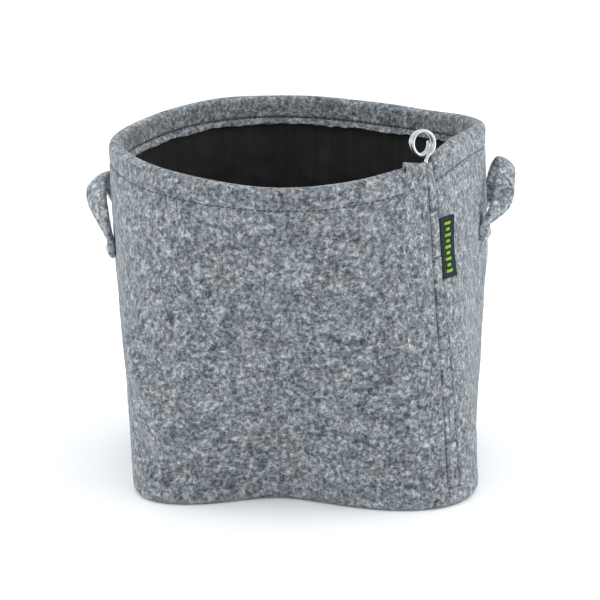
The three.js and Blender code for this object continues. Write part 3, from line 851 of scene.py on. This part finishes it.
def rod_path(length):
    """The wire's middle line in (across, inward, up): shank, bend, then the coil."""
    shank = [(0, 0, h) for h in np.linspace(0, length - 1.5, 60)]
    centre = np.array([0, 0, length - 0.5 + RING_RADIUS + RING_OFFSET_UP])

    def coil(turn):
        angle = RING_START + 2 * math.pi * turn
        radius = RING_RADIUS - 0.25 * turn
        return centre + np.array([radius * math.cos(angle), RING_PITCH * turn, radius * math.sin(angle)])

    start, entry = np.array([0, 0, length - 0.5]), coil(0)
    heading = np.array([-math.sin(RING_START), 0, math.cos(RING_START)])
    knots = [start, start + [0, 0, 1.6], entry - 1.6 * heading, entry]
    bend = []
    for t in np.linspace(0, 1, 12)[:-1]:
        weights = [(1 - t) ** 3, 3 * t * (1 - t) ** 2, 3 * t * t * (1 - t), t**3]
        bend.append(sum(w * k for w, k in zip(weights, knots)))
    turns = [coil(t) for t in np.linspace(0, RING_TURNS, 150)]
    return np.array(shank + bend + turns)


def closing_wire():
    foot, up, inward, across, length = rod_frame()
    path = rod_path(length)
    tangent = np.gradient(path, axis=0)
    tangent /= np.linalg.norm(tangent, axis=1)[:, None]
    side = np.array([1.0, 0.0, 0.0])
    angles = np.linspace(0, 2 * np.pi, 18, endpoint=False)
    rings = []
    ends = [(0.0, 0.45), (0.1, 0.75), (0.35, 0.95)]
    for index, (point, heading) in enumerate(zip(path, tangent)):
        side = side - heading * (side @ heading)
        side /= np.linalg.norm(side)
        other = np.cross(heading, side)
        size = ROD_RADIUS
        if index < 3:
            point = path[0] + heading * ends[index][0] * ROD_RADIUS
            size *= ends[index][1]
        elif index >= len(path) - 3:
            last = len(path) - 1 - index
            point = path[-1] - tangent[-1] * ends[last][0] * ROD_RADIUS
            size *= ends[last][1]
        rings.append(point + size * (np.cos(angles)[:, None] * side + np.sin(angles)[:, None] * other))
    rings = np.array(rings)
    world = foot + rings[..., :1] * across + rings[..., 1:2] * inward + rings[..., 2:] * up
    return world.reshape(-1, 3), tube_faces(len(rings), len(angles))


# ---- label


LABEL_NEAR = CLOSURE_HALF - 0.2


def label_face(across, up, lift):
    """A point of the label: across from its sewn edge, up from its lower end, lift off its cloth."""
    share = across / LABEL_WIDTH
    curl = 0.35 + 1.3 * share**2 + 0.5 * share * np.cos(up / LABEL_HEIGHT * 2 * np.pi)
    sag = -1.1 * share
    hang = 2.2 * (1 - up / LABEL_HEIGHT)
    return sewn(CLOSURE, LABEL_NEAR + across - hang, -curl - lift, LABEL_TOP - LABEL_HEIGHT + up + sag)


def side_label():
    rows, columns = 40, 20
    across = np.linspace(0, LABEL_WIDTH, columns)
    up = np.linspace(0, LABEL_HEIGHT, rows)
    front, back = [], []
    for height in up:
        hem = 0.25 * (bump(height, 1.5, 1.5) + bump(height, LABEL_HEIGHT - 1.5, 1.5))
        thick = LABEL_THICKNESS * 0.55 + hem
        front.append(label_face(across, height, thick))
        back.append(label_face(across, height, 0.0))
    front, back = np.array(front), np.array(back)
    section = np.concatenate([front, back[:, ::-1]], axis=1)
    return section.reshape(-1, 3), tube_faces(rows, 2 * columns)


def label_bars():
    """A plain ladder of satin-stitched lime bars, which stands where the real label has its mark."""
    parts = []
    pick = random.Random(5)
    low, high, count = 5.0, LABEL_HEIGHT - 5.0, 9
    for index, middle in enumerate(np.linspace(low, high, count)):
        wide = (7.6, 4.6)[index % 2]
        for row in np.arange(-0.85, 0.86, 0.34):
            start = 8.6 - wide / 2 + pick.uniform(-0.15, 0.15)
            way = np.linspace(start, start + wide, 9)
            arch = 0.34 * np.sin(np.linspace(0, np.pi, 9)) ** 0.5
            path = label_face(way, np.full(9, middle + row), LABEL_THICKNESS * 0.55 + arch - 0.1)
            parts.append(thread(path, 0.21, 6, 0.7))
    return join_parts(parts)


def label_stitches():
    parts = []
    for height in np.arange(LABEL_TOP - LABEL_HEIGHT + 2, LABEL_TOP - 1, 2.6):
        parts.append(stitch_run(CLOSURE, LABEL_NEAR + 1.3, -1.3, height, 2.0, 1.0, LABEL_STITCH_RADIUS, True))
    return join_parts(parts)


# ---- handles


def strap_arch(handle, t):
    """The strap's middle line in the plane of the wall, as (along, height)."""
    turn = np.pi * t
    reach = np.sign(np.cos(turn)) * np.abs(np.cos(turn)) ** ARCH_FULLNESS
    rise = np.sin(turn) ** ARCH_FULLNESS
    height = POT_HEIGHT - handle["drop"] + HANDLE_RISE * rise
    return np.stack([handle["front"] * HANDLE_REACH * reach, height], -1)


def strap_line(handle):
    """The strap's middle line with the direction of its width, from one sewn end over to the other. From
    each bar tack on, it turns on its side and leans out."""
    top, front = POT_HEIGHT - handle["drop"] - END_GAP, handle["front"]
    tab = [(front * HANDLE_REACH, height) for height in np.linspace(top - END_LENGTH, top, 8)]
    arch = strap_arch(handle, (1 - np.cos(np.linspace(0, np.pi, 90))) / 2)
    flat = resampled(np.concatenate([tab, arch, [(-x, height) for x, height in tab[::-1]]]), 240)
    way = np.concatenate([[0], np.cumsum(np.linalg.norm(np.diff(flat, axis=0), axis=1))])
    from_end = np.minimum(way, way[-1] - way)
    twist = (np.pi / 2) * np.clip((from_end - END_LENGTH + BAR_TACK_DROP) / handle["twist_reach"], 0, 1)
    lift = np.clip((from_end - END_LENGTH + BAR_TACK_DROP) / 12, 0, 1)
    away = END_STANDOFF + lift * (LOOP_STANDOFF - END_STANDOFF) + STRAP_THICKNESS / 2
    lean = (handle["gap"] + STRAP_WIDTH / 2) * np.sin(twist)
    lines = np.stack([flat[:, 0], -away - lean, flat[:, 1]], -1)
    tangent = np.gradient(lines, axis=0)
    tangent /= np.linalg.norm(tangent, axis=1)[:, None]
    share = np.linspace(0, 1, len(lines))
    tilt = CROWN_TILT * np.sin(np.pi * share) ** 2
    turned = np.where(share < 0.5, 1, -1) * front * np.cos(twist)
    widths = np.stack([turned, np.sin(twist) * np.cos(tilt), np.sin(twist) * np.sin(tilt)], -1)
    widths -= tangent * np.sum(widths * tangent, axis=1)[:, None]
    return lines, widths / np.linalg.norm(widths, axis=1)[:, None]


def strap_section():
    """A felt strap's section, (across, thick), with full rounded edges."""
    x, y, corner = STRAP_WIDTH / 2, STRAP_THICKNESS / 2, STRAP_THICKNESS * 0.46
    outline_points = []
    for cx, cy, start in ((x - corner, y - corner, 0), (corner - x, y - corner, 90),
                          (corner - x, corner - y, 180), (x - corner, corner - y, 270)):
        for angle in np.linspace(start, start + 90, 6) * RADIANS:
            outline_points.append((cx + corner * math.cos(angle), cy + corner * math.sin(angle)))
    closed = np.array(outline_points + outline_points[:1])
    return resampled(closed, 45)[:-1]


def cupped(across, thick, bend):
    """A strap's section bent so far across its width, with its edges turned down."""
    curve = max(bend, 0.01) / STRAP_WIDTH
    radius = 1 / curve + thick
    return radius * np.sin(curve * across), radius * np.cos(curve * across) - 1 / curve


def handle_strap(handle):
    lines, widths = strap_line(handle)
    tangent = np.gradient(lines, axis=0)
    tangent /= np.linalg.norm(tangent, axis=1)[:, None]
    normals = np.cross(tangent, widths)
    normals /= np.linalg.norm(normals, axis=1)[:, None]
    section = strap_section()
    pinch_height = POT_HEIGHT - handle["drop"] - END_GAP - BAR_TACK_DROP
    rings = []
    count = len(lines)
    convex = np.sign(normals[count // 2][2])
    for index in range(count):
        middle = lines[index]
        near_end = min(index, count - 1 - index)
        shut = math.sqrt(max(0.0, 1 - (1 - min(near_end / 7, 1)) ** 2))
        at_tack = math.exp(-(((middle[2] - pinch_height) / 2.4) ** 2)) if near_end < 42 else 0
        across, thick = section[:, 0], section[:, 1]
        bunched = 1 + 0.4 * math.exp(-(((near_end - 7) / 5) ** 2))
        thick = thick * bunched * (0.45 + 0.55 * shut) * (1 - 0.34 * at_tack * (np.abs(across) < 8))
        across = across * (0.9 + 0.1 * shut) * (1 - 0.06 * at_tack) * handle["fullness"]
        lump = 0.22 * math.sin(index * 0.37 + handle["front"]) + 0.16 * math.sin(index * 0.83)
        bend = handle["cup"] * math.sin(math.pi * index / count)
        across, thick = cupped(across * (1 + 0.05 * lump), thick * convex, bend)
        rings.append(middle + across[:, None] * widths[index] + thick[:, None] * convex * normals[index])
    rings = np.array(rings)
    fuzz = np.random.default_rng(3).normal(0, 0.07, rings.shape[:2])
    rings[..., 2] += fuzz
    points = sewn_plain(handle["azimuth"], rings[..., 0], rings[..., 1], rings[..., 2])
    return points.reshape(-1, 3), tube_faces(count, len(section))


def sewn_plain(azimuth, along, depth, height):
    """Settled points that keep off the wall's own folds except close to it."""
    angle = azimuth + along / POT_RADIUS
    away = np.clip((-depth - 4) / 8, 0, 1)
    points = settled(angle, depth, height)
    push = (relief(angle, height) * away)[..., None]
    return points - push * np.stack([np.cos(angle), np.sin(angle), np.zeros_like(angle)], -1)


def tack_stitches(handle, end):
    """A bar tack: a row of close upright stitches across the strap's sewn end."""
    parts = []
    height = POT_HEIGHT - handle["drop"] - END_GAP - BAR_TACK_DROP
    middle = end * handle["front"] * HANDLE_REACH
    face = -END_STANDOFF - STRAP_THICKNESS + 0.35
    for place in np.linspace(-6.8, 6.8, 15):
        lean = 0.35 if round(place) % 2 else -0.35
        along = middle + place + lean
        parts.append(
            stitch_run(handle["azimuth"], along, face, height, 3.0, 0.9, TACK_STITCH_RADIUS, True)
        )
    path_along = np.linspace(-7.2, 7.2, 25)
    path = sewn(handle["azimuth"], middle + path_along, face - 0.25, height + 0 * path_along)
    parts.append(thread(path, 0.36))
    return join_parts(parts)


# ---- the pieces on their bodies


def sew(name, shape, material, body, nodes):
    points, faces = shape
    piece = add_object(name, points, faces, material)
    if body:
        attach(piece, body)
    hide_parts(*nodes)
    return piece


wall = sew("felt_wall", felt_wall(), FELT_FACE, "bag", ["wall_felt"])
base = sew("felt_base", base_panel(), FELT_FACE, "bag", ["base_felt"])
lining = sew("lining_wall", lining_wall(), LINING_CLOTH, "bag", ["wall_lining"])
lining_base = sew("lining_base", base_cloth(), LINING_CLOTH, "bag", ["base_lining"])
strips = {}
for side_name, side in (("left", -1), ("right", 1)):
    strips[side_name] = sew(
        f"felt_closure_{side_name}", closure_solid(side), FELT_FACE, "bag",
        [f"closure_strip_{side_name}"],
    )
sew("steel_closing_rod", closing_wire(), STEEL, "closing_rod", ["closing_rod"])

label = sew("woven_label", side_label(), LABEL_CLOTH, "bag", ["side_label"])
bars = sew("label_lime_bars", label_bars(), LIME_THREAD, "bag", [])
label_seam = sew("label_seam_stitches", label_stitches(), SEAM_THREAD, "bag", [])

hem_outside = sew("hem_stitches_outside", stitch_row(hem_places(), 0.95, STITCH_HEIGHT, 1),
                  SEAM_THREAD, "bag", ["hem_stitching_outside"])
lap_row = stitch_row(hem_places(), FOLDED - 1.4, STITCH_HEIGHT, -1, LAP_STITCH_RADIUS)
hem_inside = sew("hem_stitches_inside", lap_row, SEAM_THREAD, "bag", ["hem_stitching_inside"])
base_places = np.linspace(0, GIRTH, round(GIRTH / STITCH_PITCH), endpoint=False)
sew("base_seam_stitches", stitch_row(base_places, BASE_EDGE + 0.25, (FELT + SEAM_ALLOWANCE) / 2 + LINING, -1),
    SEAM_THREAD, "bag", ["base_seam_stitching"])
sew("closure_stitches_left", upright_row(-CLOSURE_STITCH - 0.4, KNUCKLE_BOTTOM + 3, POT_HEIGHT - 6, -0.1),
    PALE_THREAD, "bag", ["closure_stitching_left"])
sew("closure_stitches_right", upright_row(CLOSURE_STITCH + 0.2, KNUCKLE_BOTTOM + 3, STITCH_HEIGHT - 4, -0.1),
    PALE_THREAD, "bag", ["closure_stitching_right"])

for side_name, handle in HANDLES.items():
    cad = f"handle_{side_name}"
    strap = sew(f"felt_strap_{side_name}", handle_strap(handle), FELT_STRAP_PAINTED_LIGHTER, None,
                [f"{cad}_loop", f"{cad}_front_end", f"{cad}_back_end"])
    hinge = POT_HEIGHT - handle["drop"]
    x, y = (Vector(settled(handle["azimuth"], 0, hinge)) * MM)[:2]
    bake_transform(strap)
    for place, end in (("front", 1), ("back", -1)):
        sew(f"strap_{side_name}_{place}_tack", tack_stitches(handle, end), SEAM_THREAD,
            "bag", [f"{cad}_{place}_stitches"])

# ---- floor, light and camera


def area_light(name, place, target, size, power, colour=(1, 1, 1)):
    data = bpy.data.lights.new(name, "AREA")
    data.shape = "RECTANGLE"
    data.size, data.size_y = size
    data.energy = power
    data.color = colour
    light = bpy.data.objects.new(name, data)
    light.location = place
    light.rotation_euler = (Vector(target) - Vector(place)).to_track_quat("-Z", "Y").to_euler()
    bpy.context.scene.collection.objects.link(light)


def studio():
    size = 30.0
    mesh = bpy.data.meshes.new("floor")
    square = [(-size, -size, 0), (size, -size, 0), (size, size, 0), (-size, size, 0)]
    mesh.from_pydata(square, [], [(0, 1, 2, 3)])
    mesh.materials.append(floor_material())
    floor = bpy.data.objects.new("floor", mesh)
    floor.location.z = -0.0004
    bpy.context.scene.collection.objects.link(floor)
    world = bpy.data.worlds.new("studio")
    world.use_nodes = True
    world.node_tree.nodes["Background"].inputs["Color"].default_value = (1.0, 1.0, 1.0, 1)
    world.node_tree.nodes["Background"].inputs["Strength"].default_value = 1.22
    bpy.context.scene.world = world
    area_light("left_panel", (-1.4, 0.15, 0.45), (0, 0, 0.14), (0.9, 0.9), 5, (0.97, 0.99, 1.0))
    area_light("right_panel", (1.4, 0.1, 0.45), (0, 0, 0.14), (0.9, 0.9), 8, (0.97, 0.99, 1.0))


def photo_camera():
    target = Vector((-0.0006, 0, 0.1256))
    elevation, distance = 13.8 * RADIANS, 1.5
    data = bpy.data.cameras.new("camera")
    data.sensor_width = 36
    data.lens = 36 * 1875 / 600
    camera = bpy.data.objects.new("camera", data)
    back = Vector((0, -math.cos(elevation), math.sin(elevation)))
    camera.location = target + back * distance
    camera.rotation_euler = (-back).to_track_quat("-Z", "Y").to_euler()
    bpy.context.scene.collection.objects.link(camera)
    bpy.context.scene.camera = camera


studio()
photo_camera()
bpy.context.scene.view_settings.view_transform = "Standard"
